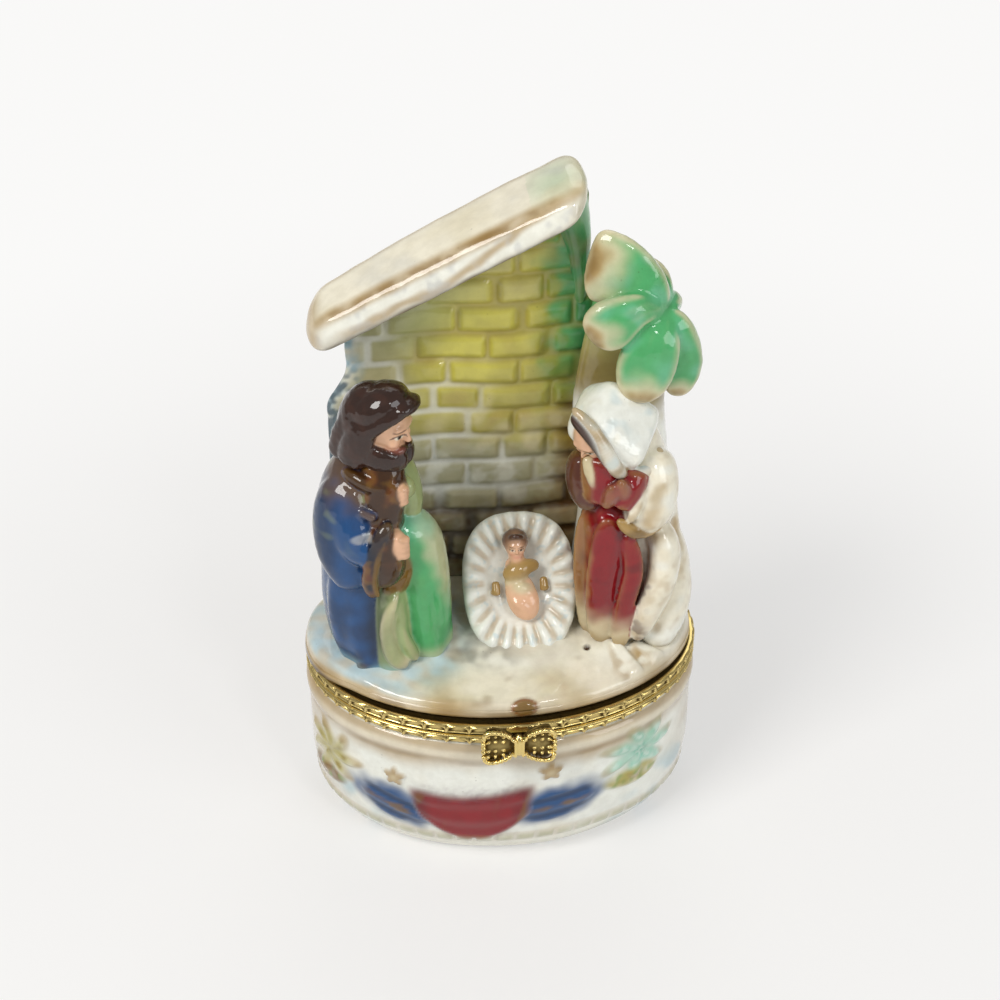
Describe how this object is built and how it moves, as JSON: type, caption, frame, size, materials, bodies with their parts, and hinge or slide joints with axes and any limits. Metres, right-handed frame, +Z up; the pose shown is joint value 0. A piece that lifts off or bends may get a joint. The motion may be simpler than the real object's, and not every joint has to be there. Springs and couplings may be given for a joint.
{
  "type": "hinged porcelain trinket box",
  "caption": "Oval hinged porcelain box with pressed gilt rims, a bow catch and a cast nativity scene on its lid; it holds small trinkets.",
  "frame": {"origin": "centre of the flat foot of the cup, on the surface that the box stands on", "axes": "+Z up, +X to the right seen from the front, -Y towards the front with the bow, hinge at the back"},
  "size_m": [0.0582, 0.049, 0.0972],
  "materials": {
    "cup_porcelain": "glossy glaze, pale blue-white over tan, painted relief",
    "lid_porcelain": "glossy reactive glaze, ivory, yellow, green, blue and red",
    "gilt_rim": "bright pressed gilt",
    "gilt_hinge": "bright gilt",
    "gilt_clasp": "bright cast gilt, dark in its hollows"
  },
  "bodies": {
    "base": {"base_bowl": "cup_porcelain", "base_bezel": "gilt_rim", "base_hinge_leaf": "gilt_hinge", "hinge_pin": "gilt_hinge"},
    "lid": {"lid_scene": "lid_porcelain", "lid_bezel": "gilt_rim", "lid_hinge_leaf": "gilt_hinge", "clasp_tongue": "gilt_clasp", "bow_clasp": "gilt_clasp"}
  },
  "joints": [
    {"name": "lid_hinge", "type": "hinge", "parent": "base", "child": "lid", "pos_m": [0, 0.0228, 0.0256], "axis": [-1, 0, 0], "range_deg": [0, 95]}
  ]
}
